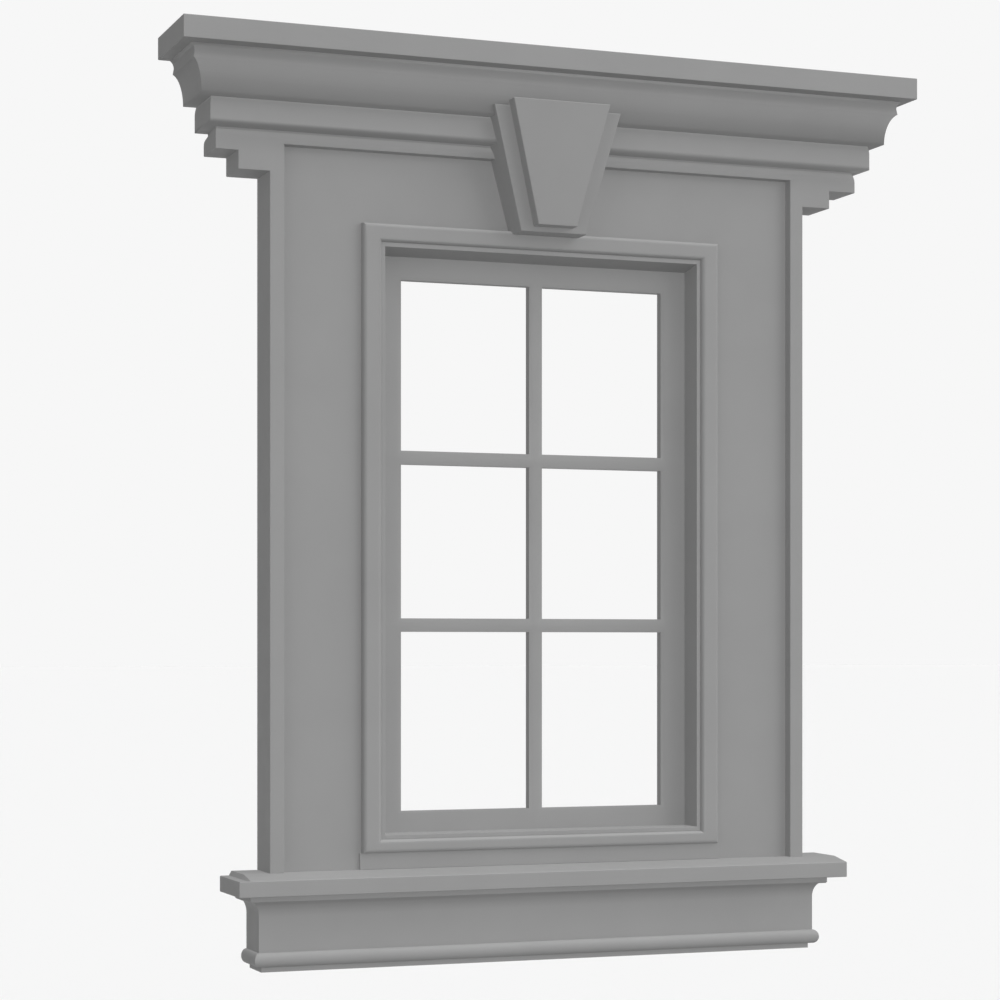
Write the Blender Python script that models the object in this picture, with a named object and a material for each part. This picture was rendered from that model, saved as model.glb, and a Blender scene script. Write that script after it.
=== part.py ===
"""Painted timber window surround: cornice with a leaning keystone, shouldered outer frame,
recessed field, mitred architrave, lined reveal, six-pane sash, weathered sill and moulded apron.

Metres, +Z up. The wall plane is Y = 0 and everything stands in front of it, towards -Y.
Heights below are measured up from the underside of the apron, depths out from the wall,
and half widths from the centre line. The origin is on the wall plane, on the back of the
field panel, midway between the lining and the head rail.
"""
import math

import bmesh
import bpy

# Gap left between neighbouring pieces
GAP = 0.0003

# Cap board
CAP_LEFT = 0.943
CAP_RIGHT = 0.9535
CAP_DEPTH = 0.2515
CAP_THICKNESS = 0.053

# Crown moulding from its foot up: cove, leaning nosing and a small hollow under the cap
CROWN_FOOT_LEFT = 0.8827
CROWN_FOOT_RIGHT = 0.8978
CROWN_FOOT_DEPTH = 0.180
CROWN_FOOT_EASE = 0.004
CROWN_COVE_REACH = 0.025
CROWN_COVE_HEIGHT = 0.0735
CROWN_COVE_SWEEP = math.radians(80)
CROWN_NOSING_HEIGHT = 0.014
CROWN_NOSING_LEAN = 0.0024
CROWN_HOLLOW_REACH = 0.009
CROWN_HOLLOW_HEIGHT = 0.0183

# Cornice band under the crown
BAND_LEFT = 0.8545
BAND_RIGHT = 0.872
BAND_DEPTH = 0.150
BAND_HEIGHT = 0.061
BAND_TOP_SET_BACK = 0.0035
BAND_FLARE_HEIGHT = 0.022
BAND_EASE = 0.003

# Outer frame: two posts, stepped shoulders and a head rail, all in one plane
FRAME_DEPTH = 0.112
POST_OUTER = 0.7015
POST_WIDTH = 0.0355
STEP_REACH = 0.0765
STEP_HEIGHT = 0.0442
SHOULDER_REACH_LEFT = 0.0545
SHOULDER_REACH_RIGHT = 0.073
SHOULDER_HEIGHT = 0.0537
HEAD_RAIL_HEIGHT = 0.0327
SHOULDER_FLARE_HEIGHT = 0.029
SHOULDER_FLARE_DEPTH = 0.008
SHOULDER_FLARE_FRONT = 0.003
SHOULDER_FLARE_BACK = 0.010
POST_LENGTH = 1.6533

# Field panel and the strip on its foot
FIELD_DEPTH = 0.085
STRIP_HALF_WIDTH = 0.473
STRIP_THICKNESS = 0.008

# Lined window hole
HOLE_HALF_WIDTH = 0.411
HOLE_FOOT = 0.3155
HOLE_HEIGHT = 1.411
LINING_THICKNESS = 0.0105
LINING_DEPTH = 0.098
LINING_HEAD_DROP = 0.0115

# Architrave
ARCHITRAVE_SIDE_WIDTH = 0.0465
ARCHITRAVE_HEAD_WIDTH = 0.0435
ARCHITRAVE_FOOT_WIDTH = 0.0325
ARCHITRAVE_THICKNESS = 0.0235
ARCHITRAVE_OUTER_ROUND = 0.010
ARCHITRAVE_INNER_ROUND = 0.011
ARCHITRAVE_INNER_DROP = 0.0105

# Sash and glazing bars
SASH_THICKNESS = 0.025
SASH_STILE_FLAT = 0.0545
SASH_FOOT_FLAT = 0.0435
SASH_HEAD_FLAT = 0.048
SASH_STILE_BEVEL = 0.010
SASH_RAIL_BEVEL = 0.0075
SASH_BEVEL_DEPTH = 0.003
UPRIGHT_BAR_OFFSET = 0.0059
UPRIGHT_BAR_WIDTH = 0.0343
CROSS_BAR_WIDTH = 0.033
BAR_FLAT = 0.012
LOWER_BAR_HEIGHT = 0.4532
UPPER_BAR_HEIGHT = 0.8613

# Sill board
SILL_HALF_WIDTH = 0.793
SILL_DEPTH = 0.178
SILL_EDGE = 0.038
SILL_WASH = 0.011
SILL_END_LEVEL = 0.022
SILL_WASH_RAMP = 0.006

# Apron moulding under the sill
APRON_HALF_WIDTH = 0.728
APRON_FOOT_SET_BACK = 0.008
APRON_FOOT_HEIGHT = 0.0125
BEAD_HEIGHT = 0.0345
BEAD_REACH = 0.013
FRIEZE_HEIGHT = 0.0845
APRON_COVE_HEIGHT = 0.035
APRON_COVE_REACH = 0.014
APRON_FILLET_REACH = 0.028
APRON_FILLET_HEIGHT = 0.0175
APRON_FILLET_EASE = 0.003

# Keystone block and its raised facing, both leaning out at the top
KEYSTONE_OFFSET = -0.0025
KEYSTONE_FOOT_DROP = 0.0085
KEYSTONE_HEIGHT = 0.296
KEYSTONE_TOP_HALF = 0.1645
KEYSTONE_FOOT_HALF = 0.0853
KEYSTONE_FOOT_DEPTH = 0.166
KEYSTONE_LEAN = 0.029
FACING_OFFSET = -0.003
FACING_RISE = 0.0125
FACING_THICKNESS = 0.033
FACING_TOP_HALF = 0.1266
FACING_FOOT_HALF = 0.0506
KEYSTONE_EASE = 0.0025

# Eased edges of the boards
BOARD_EASE = 0.002

# Shape of the curves
COVE_SWEEP = math.radians(65)
COVE_STEPS = 9
HOLLOW_STEPS = 4
ROUND_STEPS = 5
BEAD_STEPS = 10
FLARE_STEPS = 4
EASE_STEPS = 2
EASE_FULLNESS = 0.5
SHARP_ANGLE = math.radians(28)

# Grey paint
PAINT_GREY = 0.30
PAINT_ROUGHNESS = 0.6

# Heights that follow from the sizes above
SILL_FOOT = APRON_FOOT_HEIGHT + BEAD_HEIGHT + FRIEZE_HEIGHT + APRON_COVE_HEIGHT + APRON_FILLET_HEIGHT
SILL_TOP = SILL_FOOT + SILL_EDGE
SEAT_TOP = SILL_TOP + SILL_WASH
STEP_FOOT = SEAT_TOP + POST_LENGTH
SHOULDER_FOOT = STEP_FOOT + STEP_HEIGHT
BAND_FOOT = SHOULDER_FOOT + SHOULDER_HEIGHT
HEAD_RAIL_FOOT = BAND_FOOT - HEAD_RAIL_HEIGHT
CROWN_FOOT = BAND_FOOT + BAND_HEIGHT
CROWN_COVE_TOP = CROWN_FOOT + CROWN_COVE_HEIGHT
CROWN_HOLLOW_FOOT = CROWN_COVE_TOP + CROWN_NOSING_HEIGHT
CAP_FOOT = CROWN_HOLLOW_FOOT + CROWN_HOLLOW_HEIGHT
HOLE_TOP = HOLE_FOOT + HOLE_HEIGHT
ARCHITRAVE_HALF = HOLE_HALF_WIDTH + LINING_THICKNESS + ARCHITRAVE_SIDE_WIDTH
ARCHITRAVE_FOOT = HOLE_FOOT - LINING_THICKNESS - ARCHITRAVE_FOOT_WIDTH
ARCHITRAVE_TOP = HOLE_TOP + LINING_THICKNESS + ARCHITRAVE_HEAD_WIDTH
ARCHITRAVE_FRONT = FIELD_DEPTH + ARCHITRAVE_THICKNESS
KEYSTONE_FOOT = ARCHITRAVE_TOP - KEYSTONE_FOOT_DROP
KEYSTONE_TOP = KEYSTONE_FOOT + KEYSTONE_HEIGHT
SASH_TOP = HOLE_TOP - LINING_HEAD_DROP
SHOULDER_LEFT = POST_OUTER + STEP_REACH + SHOULDER_REACH_LEFT
SHOULDER_RIGHT = POST_OUTER + STEP_REACH + SHOULDER_REACH_RIGHT
POST_INNER = POST_OUTER - POST_WIDTH

# Height of the origin above the underside of the apron
ORIGIN_HEIGHT = (HOLE_TOP + LINING_THICKNESS + HEAD_RAIL_FOOT) / 2


def clear_objects():
    for thing in list(bpy.data.objects):
        bpy.data.objects.remove(thing, do_unlink=True)


def paint(name):
    material = bpy.data.materials.new(name)
    material.use_nodes = True
    shader = material.node_tree.nodes["Principled BSDF"]
    shader.inputs["Base Color"].default_value = (PAINT_GREY, PAINT_GREY, PAINT_GREY, 1.0)
    shader.inputs["Roughness"].default_value = PAINT_ROUGHNESS
    shader.inputs["Metallic"].default_value = 0.0
    return material


def place(half_width, depth, height):
    """A point given by its distance from the centre line, the wall and the apron's underside."""
    return (half_width, -depth, height - ORIGIN_HEIGHT)


def finish(name, bm):
    bmesh.ops.recalc_face_normals(bm, faces=bm.faces)
    mesh = bpy.data.meshes.new(name)
    bm.to_mesh(mesh)
    bm.free()
    mesh.shade_smooth()
    mesh.set_sharp_from_angle(angle=SHARP_ANGLE)
    mesh.materials.append(paint(name + "_paint"))
    bpy.context.scene.collection.objects.link(bpy.data.objects.new(name, mesh))


def ease_edges(bm, width, wanted):
    """Round the sharp outer corners for which wanted(first point, second point) holds."""
    bmesh.ops.recalc_face_normals(bm, faces=bm.faces)
    edges = []
    for edge in bm.edges:
        sharp = edge.is_convex and edge.calc_face_angle(0.0) > SHARP_ANGLE
        if sharp and wanted(edge.verts[0].co, edge.verts[1].co):
            edges.append(edge)
    bmesh.ops.bevel(
        bm, geom=edges, offset=width, segments=EASE_STEPS, profile=EASE_FULLNESS,
        affect="EDGES", clamp_overlap=True,
    )


def off_the_wall(first, second):
    return first.y < -GAP or second.y < -GAP


def loft(bm, sections):
    """Join closed sections of equal point counts into one solid with flat ends."""
    rings = [[bm.verts.new(point) for point in section] for section in sections]
    count = len(rings[0])
    for lower, upper in zip(rings, rings[1:]):
        for index in range(count):
            after = (index + 1) % count
            bm.faces.new((lower[index], lower[after], upper[after], upper[index]))
    bm.faces.new(rings[0][::-1])
    bm.faces.new(rings[-1])


def wall_rectangle(left, right, depth, height):
    """A level rectangle against the wall."""
    return [
        place(-left, 0.0, height),
        place(-left, depth, height),
        place(right, depth, height),
        place(right, 0.0, height),
    ]


def returned_moulding(name, left, right, depth, profile):
    """A moulding that turns back to the wall at both ends; profile holds (reach, height)."""
    bm = bmesh.new()
    loft(bm, [wall_rectangle(left + reach, right + reach, depth + reach, height)
              for reach, height in profile])
    finish(name, bm)


def board(name, left, right, foot, top, back, front, ease=0.0, wanted=off_the_wall):
    """A straight board between two half widths (right of centre is positive)."""
    bm = bmesh.new()
    lower = [place(left, back, foot), place(left, front, foot), place(right, front, foot), place(right, back, foot)]
    upper = [place(left, back, top), place(left, front, top), place(right, front, top), place(right, back, top)]
    loft(bm, [lower, upper])
    if ease:
        ease_edges(bm, ease, wanted)
    finish(name, bm)


def cove(reach, height, foot, sweep=COVE_SWEEP, steps=COVE_STEPS):
    """Hollow curve that starts upright at its foot and leans out to its top."""
    across = reach / (1 - math.cos(sweep))
    along = height / math.sin(sweep)
    angles = [sweep * step / steps for step in range(steps + 1)]
    return [(across * (1 - math.cos(angle)), foot + along * math.sin(angle)) for angle in angles]


def crown_profile():
    """Crown moulding as reach beyond its foot, from the foot up."""
    points = [(-CROWN_FOOT_EASE, CROWN_FOOT)]
    points += cove(CROWN_COVE_REACH, CROWN_COVE_HEIGHT - CROWN_FOOT_EASE, CROWN_FOOT + CROWN_FOOT_EASE,
                   CROWN_COVE_SWEEP)
    neck = CROWN_COVE_REACH - CROWN_NOSING_LEAN
    hollow = cove(CROWN_HOLLOW_REACH, CROWN_HOLLOW_HEIGHT - GAP, CROWN_HOLLOW_FOOT, steps=HOLLOW_STEPS)
    return points + [(neck + reach, height) for reach, height in hollow]


def band_profile():
    """Cornice band as reach beyond its face, from the foot up, drawn in a little at its top."""
    top = CROWN_FOOT - GAP
    points = [(-BAND_EASE, BAND_FOOT), (0.0, BAND_FOOT + BAND_EASE)]
    for step in range(FLARE_STEPS + 1):
        share = step / FLARE_STEPS
        points.append((-BAND_TOP_SET_BACK * share ** 2, top - BAND_FLARE_HEIGHT * (1 - share)))
    return points


def shoulder_share(height):
    """How far up the drawn-in top of the shoulders a height lies, from 0 to 1."""
    start = BAND_FOOT - SHOULDER_FLARE_HEIGHT
    return min(max((height - start) / SHOULDER_FLARE_HEIGHT, 0.0), 1.0)


def frame_face(height):
    """Depth of the outer frame's face."""
    return FRAME_DEPTH - SHOULDER_FLARE_DEPTH * shoulder_share(height) ** 2


def make_cornice():
    board("cap_board", -CAP_LEFT, CAP_RIGHT, CAP_FOOT, CAP_FOOT + CAP_THICKNESS,
          0.0, CAP_DEPTH, BOARD_EASE)
    returned_moulding("crown_moulding", CROWN_FOOT_LEFT, CROWN_FOOT_RIGHT, CROWN_FOOT_DEPTH, crown_profile())
    returned_moulding("cornice_band", BAND_LEFT, BAND_RIGHT, BAND_DEPTH, band_profile())


def frame_outline():
    """Half of the outline on each side, from the left post's foot round to the right one's."""
    foot = SEAT_TOP + GAP
    top = BAND_FOOT - GAP
    step = POST_OUTER + STEP_REACH
    return [
        (-POST_INNER, foot), (-POST_OUTER, foot), (-POST_OUTER, STEP_FOOT), (-step, STEP_FOOT),
        (-step, SHOULDER_FOOT), (-SHOULDER_LEFT, SHOULDER_FOOT), (-SHOULDER_LEFT, top),
        (SHOULDER_RIGHT, top), (SHOULDER_RIGHT, SHOULDER_FOOT), (step, SHOULDER_FOOT),
        (step, STEP_FOOT), (POST_OUTER, STEP_FOOT), (POST_OUTER, foot), (POST_INNER, foot),
        (POST_INNER, HEAD_RAIL_FOOT), (-POST_INNER, HEAD_RAIL_FOOT),
    ]


def make_outer_frame():
    bm = bmesh.new()
    outline = [bm.verts.new(place(across, 0.0, height)) for across, height in frame_outline()]
    back = bm.faces.new(outline)
    grown = bmesh.ops.extrude_face_region(bm, geom=[back])
    for item in grown["geom"]:
        if isinstance(item, bmesh.types.BMVert):
            item.co.y = -FRAME_DEPTH
    foot = place(0.0, 0.0, SEAT_TOP + 2 * GAP)[2]
    top = place(0.0, 0.0, BAND_FOOT - 2 * GAP)[2]
    ease_edges(bm, BOARD_EASE, lambda first, second: off_the_wall(first, second)
               and max(first.z, second.z) > foot and min(first.z, second.z) < top)
    for step in range(FLARE_STEPS):
        height = BAND_FOOT - SHOULDER_FLARE_HEIGHT * (1 - step / FLARE_STEPS)
        bmesh.ops.bisect_plane(
            bm, geom=list(bm.verts) + list(bm.edges) + list(bm.faces),
            plane_co=place(0.0, 0.0, height), plane_no=(0.0, 0.0, 1.0),
        )
    for vert in bm.verts:
        share = shoulder_share(vert.co.z + ORIGIN_HEIGHT) ** 2
        forward = -vert.co.y / FRAME_DEPTH
        if share > 0.0 and abs(vert.co.x) > POST_OUTER:
            inset = SHOULDER_FLARE_BACK + (SHOULDER_FLARE_FRONT - SHOULDER_FLARE_BACK) * forward
            vert.co.x -= math.copysign(inset * share, vert.co.x)
        vert.co.y *= 1 - share * SHOULDER_FLARE_DEPTH / FRAME_DEPTH
    finish("outer_frame", bm)


def rectangle(half_width, foot, top, depth):
    """An upright rectangle centred on the centre line."""
    return [
        place(-half_width, depth, foot), place(half_width, depth, foot),
        place(half_width, depth, top), place(-half_width, depth, top),
    ]


def make_field():
    """Field panel with the window hole through it, and the proud strip on its foot."""
    bm = bmesh.new()
    hole_half = HOLE_HALF_WIDTH + LINING_THICKNESS
    hole_foot = HOLE_FOOT - LINING_THICKNESS
    hole_top = HOLE_TOP + LINING_THICKNESS
    outer = (POST_INNER - GAP, SEAT_TOP + GAP, HEAD_RAIL_FOOT - GAP)
    loops = [
        rectangle(*outer, 0.0), rectangle(*outer, FIELD_DEPTH),
        rectangle(hole_half, hole_foot, hole_top, FIELD_DEPTH), rectangle(hole_half, hole_foot, hole_top, 0.0),
    ]
    rings = [[bm.verts.new(point) for point in loop] for loop in loops]
    for ring, following in zip(rings, rings[1:] + rings[:1]):
        for index in range(4):
            after = (index + 1) % 4
            bm.faces.new((ring[index], ring[after], following[after], following[index]))
    finish("field_panel", bm)
    board("field_foot_strip", -STRIP_HALF_WIDTH, STRIP_HALF_WIDTH, SEAT_TOP + GAP, ARCHITRAVE_FOOT - GAP,
          FIELD_DEPTH + GAP, FIELD_DEPTH + STRIP_THICKNESS)


def mitred_frame(names, loops, back):
    """Four members of a frame, mitred at the corners.

    loops run from the outer edge inwards, each as (half width, foot, top, depth of the face).
    names give the member on each side.
    """
    for side, name in names.items():
        ends = []
        for half_width, foot, top, depth in loops:
            start, stop = {
                "left": ((-half_width, foot + GAP), (-half_width, top - GAP)),
                "right": ((half_width, foot + GAP), (half_width, top - GAP)),
                "head": ((-half_width + GAP, top), (half_width - GAP, top)),
                "foot": ((-half_width + GAP, foot), (half_width - GAP, foot)),
            }[side]
            ends.append((start, stop, depth))
        bm = bmesh.new()
        front = [[bm.verts.new(place(point[0], depth, point[1])) for point in (start, stop)]
                 for start, stop, depth in ends]
        rear = [[bm.verts.new(place(point[0], back, point[1])) for point in (start, stop)]
                for start, stop, depth in ends]
        for index in range(len(loops) - 1):
            after = index + 1
            bm.faces.new((front[index][0], front[after][0], front[after][1], front[index][1]))
            bm.faces.new((rear[index][0], rear[index][1], rear[after][1], rear[after][0]))
            for end in (0, 1):
                bm.faces.new((front[index][end], front[after][end], rear[after][end], rear[index][end]))
        for edge in (0, -1):
            bm.faces.new((front[edge][0], front[edge][1], rear[edge][1], rear[edge][0]))
        finish(name, bm)


def architrave_loops():
    """Rounded outer edge, flat face and rounded inner edge; only the flat's width varies by side."""
    loops = []
    for step in range(ROUND_STEPS + 1):
        angle = math.pi / 2 * step / ROUND_STEPS
        inward = ARCHITRAVE_OUTER_ROUND * (1 - math.cos(angle))
        sunk = ARCHITRAVE_OUTER_ROUND * (1 - math.sin(angle))
        loops.append((ARCHITRAVE_HALF - inward, ARCHITRAVE_FOOT + inward, ARCHITRAVE_TOP - inward,
                      ARCHITRAVE_FRONT - sunk))
    for step in range(ROUND_STEPS + 1):
        angle = math.pi / 2 * step / ROUND_STEPS
        margin = LINING_THICKNESS + ARCHITRAVE_INNER_ROUND * (1 - math.sin(angle))
        sunk = ARCHITRAVE_INNER_DROP * (1 - math.cos(angle))
        loops.append((HOLE_HALF_WIDTH + margin, HOLE_FOOT - margin, HOLE_TOP + margin,
                      ARCHITRAVE_FRONT - sunk))
    return loops


def make_architrave():
    names = {side: "architrave_" + side for side in ("left", "right", "head", "foot")}
    mitred_frame(names, architrave_loops(), FIELD_DEPTH + GAP)


def make_lining():
    """Four boards in the window hole; the head board's underside drops towards the sash."""
    outer = HOLE_HALF_WIDTH + LINING_THICKNESS - GAP
    low = HOLE_FOOT - LINING_THICKNESS + GAP
    high = HOLE_TOP + LINING_THICKNESS - GAP
    board("lining_left", -outer, -HOLE_HALF_WIDTH, low, high, 0.0, LINING_DEPTH)
    board("lining_right", HOLE_HALF_WIDTH, outer, low, high, 0.0, LINING_DEPTH)
    inner = HOLE_HALF_WIDTH - GAP
    board("lining_foot", -inner, inner, low, HOLE_FOOT, 0.0, LINING_DEPTH)
    section = [(0.0, high), (LINING_DEPTH, high), (LINING_DEPTH, HOLE_TOP),
               (SASH_THICKNESS + GAP, SASH_TOP), (0.0, SASH_TOP)]
    bm = bmesh.new()
    loft(bm, [[place(across, depth, height) for depth, height in section] for across in (-inner, inner)])
    finish("lining_head", bm)


def sash_loops():
    """Flat face of the sash, then a bevel down to each pane."""
    outer = (HOLE_HALF_WIDTH - GAP, HOLE_FOOT + GAP, SASH_TOP - GAP, SASH_THICKNESS)
    flat = (HOLE_HALF_WIDTH - SASH_STILE_FLAT, HOLE_FOOT + SASH_FOOT_FLAT, SASH_TOP - SASH_HEAD_FLAT,
            SASH_THICKNESS)
    pane = (flat[0] - SASH_STILE_BEVEL, flat[1] + SASH_RAIL_BEVEL, flat[2] - SASH_RAIL_BEVEL,
            SASH_THICKNESS - SASH_BEVEL_DEPTH)
    return [outer, flat, pane]


def glazing_bar(name, along, width, low, high):
    """A bevelled bar whose ends are cut over the bevels that they meet.

    along turns a distance along the bar and one across it into a place on the sash.
    low and high are each (end on the flat face, end at the pane's edge).
    """
    half = width / 2
    flat = BAR_FLAT / 2
    shoulder = SASH_THICKNESS - SASH_BEVEL_DEPTH
    section = [(-half, 0.0, 1), (-half, shoulder, 1), (-flat, SASH_THICKNESS, 0),
               (flat, SASH_THICKNESS, 0), (half, shoulder, 1), (half, 0.0, 1)]
    bm = bmesh.new()
    rings = []
    for end, inward in ((low, 1), (high, -1)):
        ring = []
        for across, depth, edge in section:
            over, up = along(end[edge] + inward * 2 * GAP, across)
            ring.append(bm.verts.new(place(over, depth, up)))
        rings.append(ring)
    for index in range(6):
        after = (index + 1) % 6
        bm.faces.new((rings[0][index], rings[0][after], rings[1][after], rings[1][index]))
    for ring in rings:
        bm.faces.new((ring[0], ring[1], ring[4], ring[5]))
        bm.faces.new((ring[1], ring[2], ring[3], ring[4]))
    finish(name, bm)


def make_sash():
    """Sash frame with one upright bar and two rows of cross bars between its six panes."""
    names = {"left": "sash_stile_left", "right": "sash_stile_right",
             "head": "sash_rail_head", "foot": "sash_rail_foot"}
    loops = sash_loops()
    mitred_frame(names, loops, 0.0)
    flat_half, flat_foot, flat_top, _ = loops[1]
    pane_half, pane_foot, pane_top, _ = loops[2]
    glazing_bar("glazing_bar_upright", lambda distance, across: (UPRIGHT_BAR_OFFSET + across, distance),
                UPRIGHT_BAR_WIDTH, (flat_foot, pane_foot), (flat_top, pane_top))
    bar_flat = BAR_FLAT / 2
    bar_half = UPRIGHT_BAR_WIDTH / 2
    rows = {"lower": pane_foot + LOWER_BAR_HEIGHT, "upper": pane_foot + UPPER_BAR_HEIGHT}
    for row, height in rows.items():
        def along(distance, across, height=height):
            return (distance, height + across)
        glazing_bar("glazing_bar_" + row + "_left", along, CROSS_BAR_WIDTH, (-flat_half, -pane_half),
                    (UPRIGHT_BAR_OFFSET - bar_flat, UPRIGHT_BAR_OFFSET - bar_half))
        glazing_bar("glazing_bar_" + row + "_right", along, CROSS_BAR_WIDTH,
                    (UPRIGHT_BAR_OFFSET + bar_flat, UPRIGHT_BAR_OFFSET + bar_half), (flat_half, pane_half))


def sill_section(across, rise, inset):
    """Section of the sill; rise lifts the level seat, inset draws in the eased ends."""
    ease = BOARD_EASE
    front = SILL_DEPTH - inset
    low = SILL_FOOT + inset
    high = SILL_TOP - inset
    points = [
        (0.0, low), (front - ease, low), (front, low + ease), (front, high - ease),
        (front - ease, high), (FRAME_DEPTH, high + rise), (0.0, high + rise),
    ]
    return [place(across, depth, height) for depth, height in points]


def make_sill():
    """Sill board: level under the posts, then a wash to the front edge; level at its left end."""
    ramp = -SILL_HALF_WIDTH + SILL_END_LEVEL
    stations = [
        (-SILL_HALF_WIDTH, 0.0, BOARD_EASE), (-SILL_HALF_WIDTH + BOARD_EASE, 0.0, 0.0),
        (ramp, 0.0, 0.0), (ramp + SILL_WASH_RAMP, SILL_WASH, 0.0),
        (SILL_HALF_WIDTH - BOARD_EASE, SILL_WASH, 0.0), (SILL_HALF_WIDTH, SILL_WASH, BOARD_EASE),
    ]
    bm = bmesh.new()
    loft(bm, [sill_section(*station) for station in stations])
    finish("sill_board", bm)


def make_apron():
    """Apron from the foot up: set-back foot, half-round bead, frieze, cove and fillet."""
    bead_middle = APRON_FOOT_HEIGHT + BEAD_HEIGHT / 2
    frieze_top = APRON_FOOT_HEIGHT + BEAD_HEIGHT + FRIEZE_HEIGHT
    profile = [(-APRON_FOOT_SET_BACK, 0.0), (-APRON_FOOT_SET_BACK, APRON_FOOT_HEIGHT)]
    for step in range(BEAD_STEPS + 1):
        angle = math.pi * (step / BEAD_STEPS - 0.5)
        profile.append((BEAD_REACH * math.cos(angle), bead_middle + BEAD_HEIGHT / 2 * math.sin(angle)))
    profile += cove(APRON_COVE_REACH, APRON_COVE_HEIGHT, frieze_top)
    fillet_foot = frieze_top + APRON_COVE_HEIGHT
    profile += [(APRON_FILLET_REACH - APRON_FILLET_EASE, fillet_foot),
                (APRON_FILLET_REACH, fillet_foot + APRON_FILLET_EASE),
                (APRON_FILLET_REACH, SILL_FOOT - GAP)]
    returned_moulding("apron_moulding", APRON_HALF_WIDTH, APRON_HALF_WIDTH, FRAME_DEPTH, profile)


def keystone_face(height):
    """Depth of the keystone block's leaning face."""
    return KEYSTONE_FOOT_DEPTH + KEYSTONE_LEAN * (height - KEYSTONE_FOOT) / KEYSTONE_HEIGHT


def tapered_block(name, profile, foot, top, foot_half, top_half, centre):
    """A block whose side profile (depth, height) is carried across a width that grows upwards."""
    def half_width(height):
        return foot_half + (top_half - foot_half) * (height - foot) / (top - foot)

    bm = bmesh.new()
    loft(bm, [[place(centre + side * half_width(height), depth, height) for depth, height in profile]
              for side in (-1, 1)])
    limit = -keystone_face(foot) + GAP

    def on_the_face(first, second):
        return all(-point.y >= keystone_face(point.z + ORIGIN_HEIGHT) - GAP for point in (first, second)
                   ) and min(first.y, second.y) < limit

    ease_edges(bm, KEYSTONE_EASE, on_the_face)
    finish(name, bm)


def make_keystone():
    """Keystone block, cut to the mouldings behind it, and the facing on its front."""
    crown = [(CROWN_FOOT_DEPTH + reach, height) for reach, height in crown_profile()]
    below = [point for point in crown if point[1] < KEYSTONE_TOP]
    above = crown[len(below)]
    share = (KEYSTONE_TOP - below[-1][1]) / (above[1] - below[-1][1])
    meeting = below[-1][0] + share * (above[0] - below[-1][0])
    behind = [(meeting + GAP, KEYSTONE_TOP)]
    behind += [(depth + GAP, height - GAP) for depth, height in reversed(below)]
    behind += [(BAND_DEPTH + reach + GAP, height - GAP) for reach, height in reversed(band_profile())]
    for step in range(FLARE_STEPS, -1, -1):
        height = BAND_FOOT - SHOULDER_FLARE_HEIGHT * (1 - step / FLARE_STEPS) - GAP
        behind.append((frame_face(height) + GAP, height))
    behind += [(FRAME_DEPTH + GAP, HEAD_RAIL_FOOT - GAP), (FIELD_DEPTH + GAP, HEAD_RAIL_FOOT - GAP),
               (FIELD_DEPTH + GAP, ARCHITRAVE_TOP + GAP), (ARCHITRAVE_FRONT + GAP, ARCHITRAVE_TOP + GAP),
               (ARCHITRAVE_FRONT + GAP, KEYSTONE_FOOT)]
    front = [(keystone_face(KEYSTONE_FOOT), KEYSTONE_FOOT), (keystone_face(KEYSTONE_TOP), KEYSTONE_TOP)]
    tapered_block("keystone_block", front + behind, KEYSTONE_FOOT, KEYSTONE_TOP,
                  KEYSTONE_FOOT_HALF, KEYSTONE_TOP_HALF, KEYSTONE_OFFSET)
    foot = KEYSTONE_FOOT + FACING_RISE
    top = KEYSTONE_TOP + FACING_RISE
    facing = [(keystone_face(foot) + GAP, foot), (keystone_face(foot) + FACING_THICKNESS, foot),
              (keystone_face(top) + FACING_THICKNESS, top), (keystone_face(top) + GAP, top)]
    tapered_block("keystone_facing", facing, foot, top, FACING_FOOT_HALF, FACING_TOP_HALF,
                  KEYSTONE_OFFSET + FACING_OFFSET)


def main():
    clear_objects()
    make_cornice()
    make_outer_frame()
    make_field()
    make_architrave()
    make_lining()
    make_sash()
    make_sill()
    make_apron()
    make_keystone()


main()
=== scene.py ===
import math

import bmesh
import bpy
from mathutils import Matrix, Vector


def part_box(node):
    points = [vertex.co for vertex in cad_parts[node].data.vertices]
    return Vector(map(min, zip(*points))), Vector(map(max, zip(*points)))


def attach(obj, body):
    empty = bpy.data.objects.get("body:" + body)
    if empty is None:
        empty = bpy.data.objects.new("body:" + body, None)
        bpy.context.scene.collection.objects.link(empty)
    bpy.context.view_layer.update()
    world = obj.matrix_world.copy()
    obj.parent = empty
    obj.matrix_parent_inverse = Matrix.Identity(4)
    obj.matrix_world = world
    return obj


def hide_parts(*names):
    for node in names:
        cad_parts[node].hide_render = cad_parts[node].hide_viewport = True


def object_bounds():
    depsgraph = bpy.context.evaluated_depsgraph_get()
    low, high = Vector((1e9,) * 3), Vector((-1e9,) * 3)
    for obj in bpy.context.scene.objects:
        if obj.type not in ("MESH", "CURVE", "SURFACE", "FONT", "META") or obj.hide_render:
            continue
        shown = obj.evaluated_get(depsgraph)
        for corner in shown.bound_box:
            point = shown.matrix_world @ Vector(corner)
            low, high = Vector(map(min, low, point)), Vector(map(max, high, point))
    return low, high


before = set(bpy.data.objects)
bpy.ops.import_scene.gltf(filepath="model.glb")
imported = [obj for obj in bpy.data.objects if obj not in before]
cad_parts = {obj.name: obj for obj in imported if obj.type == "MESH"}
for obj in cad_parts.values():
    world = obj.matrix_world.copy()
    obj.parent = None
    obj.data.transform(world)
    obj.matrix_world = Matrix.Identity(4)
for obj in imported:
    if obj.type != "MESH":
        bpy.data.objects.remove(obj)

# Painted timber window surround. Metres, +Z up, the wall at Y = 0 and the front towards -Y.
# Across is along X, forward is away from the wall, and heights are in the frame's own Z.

cad_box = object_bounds()

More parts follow.
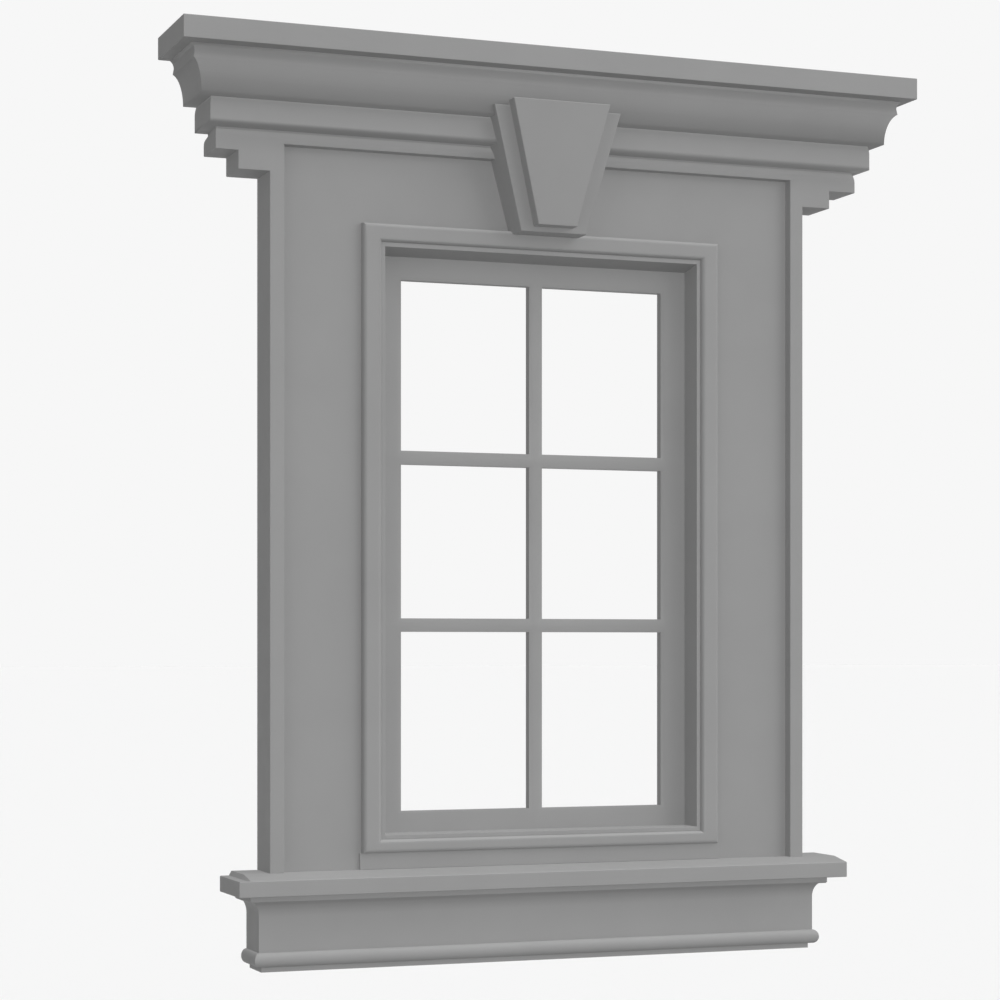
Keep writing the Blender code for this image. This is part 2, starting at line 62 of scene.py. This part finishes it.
# Crown moulding from its foot up: cove, leaning nosing and a small hollow under the cap
CROWN_COVE_REACH = 0.025
CROWN_COVE_HEIGHT = 0.0735
CROWN_COVE_SWEEP = math.radians(80)
CROWN_NOSING_HEIGHT = 0.014
CROWN_NOSING_LEAN = 0.0024
CROWN_HOLLOW_REACH = 0.009

# Pattern that the crown's soft shading comes from: a swelling curve over a small roll at the foot
PATTERN_SWEEP = math.radians(45)
PATTERN_ROLL_DEPTH = 0.002
PATTERN_ROLL_HEIGHT = 0.0005

# Cornice band
BAND_TOP_SET_BACK = 0.0035
BAND_FLARE_HEIGHT = 0.022
BAND_ROLL_HEIGHT = 0.010

# Outer frame
POST_WIDTH = 0.0355
STEP_REACH = 0.0765
STEP_HEIGHT = 0.0442
SHOULDER_HEIGHT = 0.0537
HEAD_RAIL_HEIGHT = 0.0327
SHOULDER_FLARE_HEIGHT = 0.029
SHOULDER_FLARE_DEPTH = 0.008
SHOULDER_FLARE_FRONT = 0.003
SHOULDER_FLARE_BACK = 0.010

# Architrave and lining
LINING_THICKNESS = 0.0105
LINING_HEAD_DROP = 0.0115
ARCHITRAVE_OUTER_ROUND = 0.010
ARCHITRAVE_INNER_ROUND = 0.0107

# Sash
SASH_STILE_FLAT = 0.0545
SASH_FOOT_FLAT = 0.0435
SASH_HEAD_FLAT = 0.048
SASH_BAR_BEVEL = 0.0105
SASH_RAIL_BEVEL = 0.0075
SASH_BEVEL_DEPTH = 0.003

# Sill
SILL_EDGE = 0.038
SILL_END_LEVEL = 0.022
SILL_WASH_RAMP = 0.006

# Apron, from its foot up
APRON_FOOT_SET_BACK = 0.008
APRON_FOOT_HEIGHT = 0.0125
BEAD_HEIGHT = 0.0345
BEAD_REACH = 0.013
FRIEZE_HEIGHT = 0.0845
APRON_COVE_HEIGHT = 0.035
APRON_COVE_REACH = 0.014
APRON_FILLET_REACH = 0.028
APRON_FILLET_EASE = 0.003

# Keystone
KEYSTONE_LEAN = 0.029
KEYSTONE_FOOT_HALF = 0.0853
FACING_FOOT_HALF = 0.0506

# Rounding of the arrises
BOARD_EASE = 0.002
KEYSTONE_EASE = 0.0025
SLIGHT_EASE = 0.0012
EASE_SEGMENTS = 3
SHARP_ANGLE = math.radians(28)

# Shape of the curves
COVE_SWEEP = math.radians(65)
COVE_STEPS = 18
HOLLOW_STEPS = 6
ROUND_SEGMENTS = 8
BEAD_STEPS = 16
FLARE_STEPS = 6

# Selecting within a hundredth of a millimetre
NEAR = 0.00001

# Camera, placed to give the photograph's frame
CAMERA_PLACE = (-2.3483, -5.9839, -1.0797)
CAMERA_TURN = math.radians(20.76)
CAMERA_LENS = 92.97
CAMERA_SENSOR = 36.0
CAMERA_RISE = 0.1477

# Floor and light
FLOOR_DROP = 0.75
FLOOR_SIZE = 400.0
FLOOR_GREY = 0.88
BACKDROP_GREY = 0.93
AMBIENT_GREY = 0.26
LIGHT_DISTANCE = 4.0

# Studio lights as name, direction it comes from, strength, softness in degrees, and whether it throws shadows
LIGHTS = [
    ("key_light", (0.80, -0.60, 0.20), 1.0, 60, True),
    ("fill_front", (0.30, -0.65, 0.55), 1.02, 60, False),
    ("fill_left", (-0.80, -0.40, 0.10), 0.56, 60, False),
    ("fill_below", (-0.10, -0.50, -0.85), 0.29, 60, False),
    ("fill_top", (0.15, -0.20, 0.97), 1.6, 60, False),
]

# Paint. Each noise is given as its scale and detail
PAINT_GREY = 0.32
TONE_SPREAD = 0.02
TONE_NOISE = (5.0, 4.0)
SHEEN_NOISE = (18.0, 3.0)
STIPPLE_NOISE = (450.0, 2.0)
NOISE_LOW = 0.3
NOISE_HIGH = 0.7
DRY_ROUGHNESS = 0.60
DULL_ROUGHNESS = 0.72
STIPPLE_STRENGTH = 0.18
STIPPLE_HEIGHT = 0.0003
PAINT_GLOSS = 0.25


def same(first, second):
    return abs(first - second) < NEAR


def open_piece(name, size):
    """Name the new primitive, give it its size, apply its place and open it in edit mode."""
    piece = bpy.context.object
    piece.name = name
    piece.data.name = name
    piece.scale = size
    bpy.ops.object.transform_apply(location=True, rotation=True, scale=True)
    bpy.ops.object.mode_set(mode="EDIT")
    return piece


def start_block(name, low, high):
    """A cube between two corners."""
    bpy.ops.object.select_all(action="DESELECT")
    low = Vector(low)
    high = Vector(high)
    bpy.ops.mesh.primitive_cube_add(size=1.0, location=(low + high) / 2)
    return open_piece(name, high - low)


def start_sheet(name, left, right, foot, top, depth):
    """A plane that stands upright, facing the front."""
    bpy.ops.object.select_all(action="DESELECT")
    bpy.ops.mesh.primitive_plane_add(
        size=1.0, location=((left + right) / 2, -depth, (foot + top) / 2),
        rotation=(math.radians(90), 0.0, 0.0),
    )
    return open_piece(name, (right - left, top - foot, 1.0))


def start_level(name, left, right, depth, height):
    """A level plane that starts at the wall."""
    bpy.ops.object.select_all(action="DESELECT")
    bpy.ops.mesh.primitive_plane_add(size=1.0, location=((left + right) / 2, -depth / 2, height))
    return open_piece(name, (right - left, depth, 1.0))


def pick(kind, wanted):
    """Select only the corners, edges or faces for which wanted holds."""
    bpy.ops.mesh.select_mode(type=kind)
    bpy.ops.mesh.select_all(action="DESELECT")
    mesh = bpy.context.edit_object.data
    shape = bmesh.from_edit_mesh(mesh)
    shape.normal_update()
    for part in {"VERT": shape.verts, "EDGE": shape.edges, "FACE": shape.faces}[kind]:
        if wanted(part):
            part.select_set(True)
    shape.select_flush_mode()
    bmesh.update_edit_mesh(mesh)


def shift(across=0.0, forward=0.0, up=0.0):
    bpy.ops.transform.translate(value=(across, -forward, up))


def pull(across=0.0, forward=0.0, up=0.0):
    bpy.ops.mesh.extrude_region_move(TRANSFORM_OT_translate={"value": (across, -forward, up)})


def stretch(factors, centre):
    bpy.ops.transform.resize(value=factors, center_override=centre)


def cut(place, normal):
    """Cut the whole piece along a plane."""
    bpy.ops.mesh.select_all(action="SELECT")
    bpy.ops.mesh.bisect(plane_co=place, plane_no=normal)


def cut_lines(uprights, levels):
    """Cut a sheet along upright and level lines."""
    for across in uprights:
        cut((across, 0.0, 0.0), (1.0, 0.0, 0.0))
    for height in levels:
        cut((0.0, 0.0, height), (0.0, 0.0, 1.0))


def face_outwards():
    bpy.ops.mesh.select_all(action="SELECT")
    bpy.ops.mesh.normals_make_consistent(inside=False)


def is_arris(edge):
    """A sharp outer edge that isn't on the wall."""
    off_wall = min(vert.co.y for vert in edge.verts) < -NEAR
    return off_wall and edge.is_convex and edge.calc_face_angle(0.0) > SHARP_ANGLE


def ease(width, wanted=lambda edge: True, segments=EASE_SEGMENTS):
    """Round the arrises for which wanted holds."""
    face_outwards()
    pick("EDGE", lambda edge: is_arris(edge) and wanted(edge))
    bpy.ops.mesh.bevel(offset=width, segments=segments, profile=0.5, affect="EDGES", clamp_overlap=True)


def settle(piece, paint, nodes):
    """Paint the piece and let it stand for its nodes."""
    piece.data.materials.append(paint)
    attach(piece, "root")
    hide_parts(*nodes)
    return piece


def hang(piece, paint, nodes):
    """Close the piece with smooth curves and crisp arrises."""
    face_outwards()
    bpy.ops.object.mode_set(mode="OBJECT")
    bpy.ops.object.shade_smooth_by_angle(angle=SHARP_ANGLE)
    bpy.ops.object.modifier_add(type="WEIGHTED_NORMAL")
    piece.modifiers[-1].keep_sharp = True
    bpy.ops.object.modifier_apply(modifier=piece.modifiers[-1].name)
    return settle(piece, paint, nodes)


def roll_over():
    """Close the open piece with every level edge shaded softly and only its corners crisp."""
    face_outwards()
    pick("EDGE", lambda edge: not same(edge.verts[0].co.z, edge.verts[1].co.z))
    bpy.ops.mesh.mark_sharp()
    bpy.ops.object.mode_set(mode="OBJECT")
    bpy.ops.object.shade_smooth()


def borrow_shading(piece, pattern):
    """Take the surface directions from the nearest corners of a simpler piece, which then goes."""
    lender = piece.modifiers.new("shading", "DATA_TRANSFER")
    lender.object = pattern
    lender.use_loop_data = True
    lender.data_types_loops = {"CUSTOM_NORMAL"}
    lender.loop_mapping = "NEAREST_POLYNOR"
    bpy.ops.object.modifier_apply(modifier=lender.name)
    bpy.data.objects.remove(pattern, do_unlink=True)


def fit_over(piece, neighbour):
    """Cut the back of a piece to the neighbour that it sits on."""
    bpy.ops.object.select_all(action="DESELECT")
    bpy.context.view_layer.objects.active = piece
    piece.select_set(True)
    fitting = piece.modifiers.new("fitting", "BOOLEAN")
    fitting.operation = "DIFFERENCE"
    fitting.object = neighbour
    bpy.ops.object.modifier_apply(modifier=fitting.name)


def cove(reach, height, foot, sweep=COVE_SWEEP, steps=COVE_STEPS):
    """Hollow curve that starts upright at its foot and leans out to its top."""
    across = reach / (1 - math.cos(sweep))
    along = height / math.sin(sweep)
    angles = [sweep * step / steps for step in range(steps + 1)]
    return [(across * (1 - math.cos(angle)), foot + along * math.sin(angle)) for angle in angles]


def build_up(name, left, right, depth, profile):
    """A moulding that returns to the wall, drawn up from its foot and spread once for each (reach, height)."""
    reach, level = profile[0]
    piece = start_level(name, left - reach, right + reach, depth + reach, level)
    middle = (left + right) / 2
    for new_reach, height in profile[1:]:
        pull(up=height - level)
        width = right - left
        stretch(((width + 2 * new_reach) / (width + 2 * reach), (depth + new_reach) / (depth + reach), 1.0),
                (middle, 0.0, height))
        reach = new_reach
        level = height
    return piece


def make_cap(paint):
    low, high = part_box("cap_board")
    piece = start_block("cap", low, high)
    ease(BOARD_EASE)
    hang(piece, paint, ["cap_board"])


def make_crown(paint):
    """Cove, nosing and hollow, turned back to the wall at both ends and shaded from a simpler pattern."""
    low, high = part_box("crown_moulding")
    neck = CROWN_COVE_REACH - CROWN_NOSING_LEAN
    reach = neck + CROWN_HOLLOW_REACH
    faces = (low.x + reach, high.x - reach, -low.y - reach)
    cove_top = low.z + CROWN_COVE_HEIGHT
    neck_height = cove_top + CROWN_NOSING_HEIGHT
    swell = cove(CROWN_COVE_REACH, CROWN_COVE_HEIGHT, 0.0, PATTERN_SWEEP)
    profile = [(-PATTERN_ROLL_DEPTH, low.z - PATTERN_ROLL_HEIGHT)]
    profile += [(CROWN_COVE_REACH - further, cove_top - height) for further, height in reversed(swell)]
    pattern = build_up("crown_pattern", *faces, profile + [(neck, neck_height), (reach, high.z)])
    roll_over()
    hollow = cove(CROWN_HOLLOW_REACH, high.z - neck_height, neck_height, steps=HOLLOW_STEPS)
    profile = cove(CROWN_COVE_REACH, CROWN_COVE_HEIGHT, low.z, CROWN_COVE_SWEEP)
    profile += [(neck + further, height) for further, height in hollow]
    piece = build_up("crown", *faces, profile)
    roll_over()
    borrow_shading(piece, pattern)
    return settle(piece, paint, ["crown_moulding"])


def make_band(paint):
    """Band with a softly rolled lower edge, drawn in a little at its top."""
    low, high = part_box("cornice_band")
    profile = [(0.0, low.z), (0.0, low.z + BAND_ROLL_HEIGHT)]
    for step in range(FLARE_STEPS + 1):
        share = step / FLARE_STEPS
        profile.append((-BAND_TOP_SET_BACK * share ** 2, high.z - BAND_FLARE_HEIGHT * (1 - share)))
    piece = build_up("band", low.x, high.x, -low.y, profile)
    roll_over()
    return settle(piece, paint, ["cornice_band"])


def make_frame(paint):
    """Posts, stepped shoulders and head rail from one sheet, drawn in at the top of the shoulders."""
    low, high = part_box("outer_frame")
    depth = -low.y
    shoulder_foot = high.z - SHOULDER_HEIGHT
    step_foot = shoulder_foot - STEP_HEIGHT
    rail_foot = high.z - HEAD_RAIL_HEIGHT
    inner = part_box("field_panel")[1].x
    outer = inner + POST_WIDTH
    step = outer + STEP_REACH

    def kept(face):
        middle = face.calc_center_median()
        away = abs(middle.x)
        if middle.z > rail_foot:
            return True
        if away < inner:
            return False
        return away < outer or (middle.z > step_foot and away < step) or middle.z > shoulder_foot

    piece = start_sheet("frame", low.x, high.x, low.z, high.z, 0.0)
    cut_lines([-step, -outer, -inner, inner, outer, step], [step_foot, shoulder_foot, rail_foot])
    pick("FACE", lambda face: not kept(face))
    bpy.ops.mesh.delete(type="FACE")
    bpy.ops.mesh.select_all(action="SELECT")
    pull(forward=depth)
    ease(BOARD_EASE, lambda edge: max(vert.co.z for vert in edge.verts) > low.z + NEAR
         and min(vert.co.z for vert in edge.verts) < high.z - NEAR)
    for number in range(FLARE_STEPS + 1):
        share = number / FLARE_STEPS
        height = high.z - SHOULDER_FLARE_HEIGHT * (1 - share)
        if number < FLARE_STEPS:
            cut((0.0, 0.0, height), (0.0, 0.0, 1.0))
        draw_in_row(height, outer, depth, share ** 2)
    return hang(piece, paint, ["outer_frame"])


def draw_in_row(height, outer, depth, share):
    """Draw one level row of the shoulders back from the front, and in at its two ends."""
    for side in (-1, 1):
        for at_back in (False, True):
            pick("VERT", lambda vert: same(vert.co.z, height) and side * vert.co.x > outer + NEAR
                 and (vert.co.y > -NEAR) == at_back)
            inset = SHOULDER_FLARE_BACK if at_back else SHOULDER_FLARE_FRONT
            shift(across=-side * inset * share)
    pick("VERT", lambda vert: same(vert.co.z, height))
    stretch((1.0, 1 - share * SHOULDER_FLARE_DEPTH / depth, 1.0), (0.0, 0.0, height))


def start_ring(name, outer, inner, depth):
    """A standing sheet with a rectangular hole; outer and inner are (left, right, foot, top)."""
    piece = start_sheet(name, *outer, depth)
    left, right, foot, top = inner
    cut_lines([left, right], [foot, top])

    def in_hole(face):
        middle = face.calc_center_median()
        return left < middle.x < right and foot < middle.z < top

    pick("FACE", in_hole)
    bpy.ops.mesh.delete(type="FACE")
    bpy.ops.mesh.select_all(action="SELECT")
    return piece


def hole_edges():
    """The lined hole as (left, right, foot, top)."""
    return (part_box("lining_left")[1].x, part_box("lining_right")[0].x,
            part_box("lining_foot")[1].z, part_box("architrave_head")[0].z - LINING_THICKNESS)


def grown(rectangle, width):
    left, right, foot, top = rectangle
    return (left - width, right + width, foot - width, top + width)


def make_field(paint):
    low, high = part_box("field_panel")
    piece = start_ring("field", (low.x, high.x, low.z, high.z), grown(hole_edges(), LINING_THICKNESS), 0.0)
    pull(forward=-low.y)
    hang(piece, paint, ["field_panel"])
    low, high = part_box("field_foot_strip")
    piece = start_block("foot_strip", low, high)
    ease(SLIGHT_EASE, lambda edge: max(vert.co.y for vert in edge.verts) < low.y + NEAR)
    hang(piece, paint, ["field_foot_strip"])


def make_architrave(paint):
    """Picture-frame moulding with both front edges rounded."""
    names = ["architrave_left", "architrave_right", "architrave_head", "architrave_foot"]
    hole = grown(hole_edges(), LINING_THICKNESS)
    outer = (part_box("architrave_left")[0].x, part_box("architrave_right")[1].x,
             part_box("architrave_foot")[0].z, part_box("architrave_head")[1].z)
    low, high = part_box("architrave_left")
    piece = start_ring("architrave", outer, hole, -high.y)
    pull(forward=high.y - low.y)
    left, right, foot, top = hole

    def at_front(edge):
        return max(vert.co.y for vert in edge.verts) < low.y + NEAR

    def at_hole(edge):
        return all(left - NEAR < vert.co.x < right + NEAR and foot - NEAR < vert.co.z < top + NEAR
                   for vert in edge.verts)

    ease(ARCHITRAVE_INNER_ROUND, lambda edge: at_front(edge) and at_hole(edge), ROUND_SEGMENTS)
    ease(ARCHITRAVE_OUTER_ROUND, lambda edge: at_front(edge) and not at_hole(edge), ROUND_SEGMENTS)
    hang(piece, paint, names)
    return piece


def make_lining(paint):
    """The boards of the reveal; the head's underside drops towards the sash."""
    names = ["lining_left", "lining_right", "lining_head", "lining_foot"]
    hole = hole_edges()
    depth = -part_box("lining_left")[0].y
    sash_face = -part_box("sash_stile_left")[0].y
    piece = start_ring("reveal_lining", grown(hole, LINING_THICKNESS), hole, depth)
    pull(forward=sash_face - depth)
    pick("VERT", lambda vert: same(vert.co.y, -sash_face) and same(vert.co.z, hole[3]))
    shift(up=-LINING_HEAD_DROP)
    pick("FACE", lambda face: all(same(vert.co.y, -sash_face) for vert in face.verts))
    pull(forward=-sash_face)
    ease(SLIGHT_EASE, lambda edge: max(vert.co.y for vert in edge.verts) < -depth + NEAR)
    hang(piece, paint, names)


def make_sash(paint):
    """Sash frame and glazing bars from one sheet, with a bevel round each of the six panes."""
    names = ["sash_stile_left", "sash_stile_right", "sash_rail_head", "sash_rail_foot", "glazing_bar_upright"]
    names += ["glazing_bar_" + row + "_" + side for row in ("upper", "lower") for side in ("left", "right")]
    left, right, foot, top = hole_edges()
    top -= LINING_HEAD_DROP
    thickness = -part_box("sash_stile_left")[0].y
    uprights = [left + SASH_STILE_FLAT, right - SASH_STILE_FLAT]
    levels = [foot + SASH_FOOT_FLAT, top - SASH_HEAD_FLAT]
    for name, lines, axis in (("glazing_bar_upright", uprights, 0),
                              ("glazing_bar_lower_left", levels, 2), ("glazing_bar_upper_left", levels, 2)):
        low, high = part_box(name)
        lines += [low[axis] + SASH_BAR_BEVEL, high[axis] - SASH_BAR_BEVEL]
    uprights.sort()
    levels.sort()

    def in_pane(face):
        middle = face.calc_center_median()
        return any(start < middle.x < end for start, end in zip(uprights[::2], uprights[1::2])) and any(
            start < middle.z < end for start, end in zip(levels[::2], levels[1::2]))

    piece = start_sheet("sash", left, right, foot, top, thickness)
    cut_lines(uprights, levels)
    pick("FACE", in_pane)
    bpy.ops.mesh.inset(thickness=SASH_BAR_BEVEL, depth=-SASH_BEVEL_DEPTH, use_individual=True)
    bpy.ops.mesh.delete(type="FACE")
    for line, way in ((levels[0], 1), (levels[-1], -1)):
        pick("VERT", lambda vert: same(vert.co.z, line + way * SASH_BAR_BEVEL))
        shift(up=way * (SASH_RAIL_BEVEL - SASH_BAR_BEVEL))
    bpy.ops.mesh.select_all(action="SELECT")
    pull(forward=-thickness)
    stretch((1.0, 0.0, 1.0), (0.0, 0.0, 0.0))
    hang(piece, paint, names)


def make_sill(paint):
    """Level seat under the posts, then a wash to the front; level at its left end."""
    low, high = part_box("sill_board")
    seat = -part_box("outer_frame")[0].y
    ramp = low.x + SILL_END_LEVEL
    wash = high.z - low.z - SILL_EDGE
    piece = start_block("sill", low, high)
    cut((0.0, -seat, 0.0), (0.0, 1.0, 0.0))
    for across in (ramp, ramp + SILL_WASH_RAMP):
        cut((across, 0.0, 0.0), (1.0, 0.0, 0.0))
    pick("VERT", lambda vert: same(vert.co.z, high.z) and (same(vert.co.y, low.y) or vert.co.x < ramp + NEAR))
    shift(up=-wash)
    ease(BOARD_EASE, lambda edge: max(vert.co.y for vert in edge.verts) < low.y + NEAR
         or max(vert.co.x for vert in edge.verts) < low.x + NEAR
         or min(vert.co.x for vert in edge.verts) > high.x - NEAR)
    return hang(piece, paint, ["sill_board"])


def make_apron(paint):
    """From the foot up: set-back foot, half-round bead, frieze, cove and fillet."""
    low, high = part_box("apron_moulding")
    profile = [(-APRON_FOOT_SET_BACK, low.z), (-APRON_FOOT_SET_BACK, low.z + APRON_FOOT_HEIGHT)]
    middle = low.z + APRON_FOOT_HEIGHT + BEAD_HEIGHT / 2
    for step in range(BEAD_STEPS + 1):
        angle = math.pi * (step / BEAD_STEPS - 0.5)
        profile.append((BEAD_REACH * math.cos(angle), middle + BEAD_HEIGHT / 2 * math.sin(angle)))
    frieze_top = middle + BEAD_HEIGHT / 2 + FRIEZE_HEIGHT
    profile += cove(APRON_COVE_REACH, APRON_COVE_HEIGHT, frieze_top)
    fillet_foot = frieze_top + APRON_COVE_HEIGHT
    profile += [(APRON_FILLET_REACH - APRON_FILLET_EASE, fillet_foot),
                (APRON_FILLET_REACH, fillet_foot + APRON_FILLET_EASE), (APRON_FILLET_REACH, high.z)]
    reach = APRON_FILLET_REACH
    piece = build_up("apron", low.x + reach, high.x - reach, -low.y - reach, profile)
    return hang(piece, paint, ["apron_moulding"])


def leaning_block(name, node, foot_half, back):
    """A block that widens upwards and whose face leans out; back is the depth of its hidden side."""
    low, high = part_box(node)
    middle = (low.x + high.x) / 2
    top_half = (high.x - low.x) / 2
    piece = start_block(name, low, (high.x, -back, high.z))
    pick("VERT", lambda vert: same(vert.co.z, low.z))
    stretch((foot_half / top_half, 1.0, 1.0), (middle, 0.0, low.z))
    pick("VERT", lambda vert: same(vert.co.z, low.z) and same(vert.co.y, low.y))
    shift(forward=-KEYSTONE_LEAN)
    return piece


def make_keystone(paint, neighbours):
    """Keystone block, cut to the mouldings behind it, and the raised facing on its front."""
    piece = leaning_block("keystone", "keystone_block", KEYSTONE_FOOT_HALF, -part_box("field_panel")[0].y)
    ease(KEYSTONE_EASE, lambda edge: max(vert.co.y for vert in edge.verts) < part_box("cornice_band")[0].y)
    bpy.ops.object.mode_set(mode="OBJECT")
    for neighbour in neighbours:
        fit_over(piece, neighbour)
    bpy.ops.object.mode_set(mode="EDIT")
    hang(piece, paint, ["keystone_block"])
    low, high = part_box("keystone_facing")
    facing = leaning_block("keystone_facing_board", "keystone_facing", FACING_FOOT_HALF, -high.y)
    pick("VERT", lambda vert: same(vert.co.z, high.z) and same(vert.co.y, high.y))
    shift(forward=KEYSTONE_LEAN)
    ease(KEYSTONE_EASE, lambda edge: max(vert.co.y for vert in edge.verts) < high.y - NEAR)
    hang(facing, paint, ["keystone_facing"])


def link(tree, start, end):
    tree.links.new(start, end)


def add_noise(tree, place, scale_and_detail):
    noise = tree.nodes.new("ShaderNodeTexNoise")
    noise.inputs["Scale"].default_value, noise.inputs["Detail"].default_value = scale_and_detail
    link(tree, place.outputs["Object"], noise.inputs["Vector"])
    return noise


def make_paint(name):
    """Matt grey paint with a fine rolled texture, slightly uneven in tone and sheen."""
    material = bpy.data.materials.new(name)
    material.use_nodes = True
    tree = material.node_tree
    shader = tree.nodes["Principled BSDF"]
    place = tree.nodes.new("ShaderNodeTexCoord")
    cloud = add_noise(tree, place, TONE_NOISE)
    tone = tree.nodes.new("ShaderNodeValToRGB")
    darker, lighter = PAINT_GREY * (1 - TONE_SPREAD), PAINT_GREY * (1 + TONE_SPREAD)
    for stop, position, grey in zip(tone.color_ramp.elements, (NOISE_LOW, NOISE_HIGH), (darker, lighter)):
        stop.position = position
        stop.color = (grey, grey, grey, 1.0)
    link(tree, cloud.outputs["Fac"], tone.inputs["Fac"])
    link(tree, tone.outputs["Color"], shader.inputs["Base Color"])
    patches = add_noise(tree, place, SHEEN_NOISE)
    sheen = tree.nodes.new("ShaderNodeMapRange")
    sheen.inputs["From Min"].default_value = NOISE_LOW
    sheen.inputs["From Max"].default_value = NOISE_HIGH
    sheen.inputs["To Min"].default_value = DRY_ROUGHNESS
    sheen.inputs["To Max"].default_value = DULL_ROUGHNESS
    link(tree, patches.outputs["Fac"], sheen.inputs["Value"])
    link(tree, sheen.outputs["Result"], shader.inputs["Roughness"])
    stipple = add_noise(tree, place, STIPPLE_NOISE)
    bump = tree.nodes.new("ShaderNodeBump")
    bump.inputs["Strength"].default_value = STIPPLE_STRENGTH
    bump.inputs["Distance"].default_value = STIPPLE_HEIGHT
    link(tree, stipple.outputs["Fac"], bump.inputs["Height"])
    link(tree, bump.outputs["Normal"], shader.inputs["Normal"])
    shader.inputs["Specular IOR Level"].default_value = PAINT_GLOSS
    return material


def plain_material(name, grey):
    material = bpy.data.materials.new(name)
    material.use_nodes = True
    shader = material.node_tree.nodes["Principled BSDF"]
    shader.inputs["Base Color"].default_value = (grey, grey, grey, 1.0)
    shader.inputs["Roughness"].default_value = 1.0
    shader.inputs["Specular IOR Level"].default_value = 0.0
    return material


def make_floor():
    """A plain pale floor below the sill, as far down as a room's floor would be."""
    height = cad_box[0].z - FLOOR_DROP
    bpy.ops.object.select_all(action="DESELECT")
    bpy.ops.mesh.primitive_plane_add(size=FLOOR_SIZE, location=(0.0, 0.0, height))
    floor = bpy.context.object
    floor.name = "floor"
    floor.data.materials.append(plain_material("floor_pale", FLOOR_GREY))
    floor.visible_diffuse = False


def make_light():
    """Even light from all round, a soft key from the front, right and above, and fills that throw no shadow."""
    world = bpy.data.worlds.new("studio")
    bpy.context.scene.world = world
    world.use_nodes = True
    nodes = world.node_tree.nodes
    around = nodes["Background"]
    around.inputs["Color"].default_value = (AMBIENT_GREY, AMBIENT_GREY, AMBIENT_GREY, 1.0)
    seen = nodes.new("ShaderNodeBackground")
    seen.inputs["Color"].default_value = (BACKDROP_GREY, BACKDROP_GREY, BACKDROP_GREY, 1.0)
    path = nodes.new("ShaderNodeLightPath")
    mix = nodes.new("ShaderNodeMixShader")
    link(world.node_tree, path.outputs["Is Camera Ray"], mix.inputs["Fac"])
    link(world.node_tree, around.outputs["Background"], mix.inputs[1])
    link(world.node_tree, seen.outputs["Background"], mix.inputs[2])
    link(world.node_tree, mix.outputs["Shader"], nodes["World Output"].inputs["Surface"])
    for name, direction, strength, softness, shadows in LIGHTS:
        bpy.ops.object.select_all(action="DESELECT")
        bpy.ops.object.light_add(type="SUN", location=Vector(direction) * LIGHT_DISTANCE)
        lamp = bpy.context.object
        lamp.name = name
        lamp.rotation_euler = Vector(direction).to_track_quat("Z", "Y").to_euler()
        lamp.data.energy = strength
        lamp.data.angle = math.radians(softness)
        lamp.data.use_shadow = shadows


def make_camera():
    bpy.ops.object.select_all(action="DESELECT")
    bpy.ops.object.camera_add(location=CAMERA_PLACE, rotation=(math.radians(90), 0.0, -CAMERA_TURN))
    camera = bpy.context.object
    camera.name = "camera"
    camera.data.lens = CAMERA_LENS
    camera.data.sensor_width = CAMERA_SENSOR
    camera.data.shift_y = CAMERA_RISE
    camera.data.clip_end = FLOOR_SIZE
    bpy.context.scene.camera = camera
    bpy.context.scene.view_settings.view_transform = "Standard"


def main():
    paint = make_paint("grey_paint")
    make_cap(paint)
    crown = make_crown(paint)
    band = make_band(paint)
    outer_frame = make_frame(paint)
    make_field(paint)
    architrave = make_architrave(paint)
    make_lining(paint)
    make_sash(paint)
    make_sill(paint)
    make_apron(paint)
    make_keystone(paint, [crown, band, outer_frame, architrave])
    make_floor()
    make_light()
    make_camera()


main()
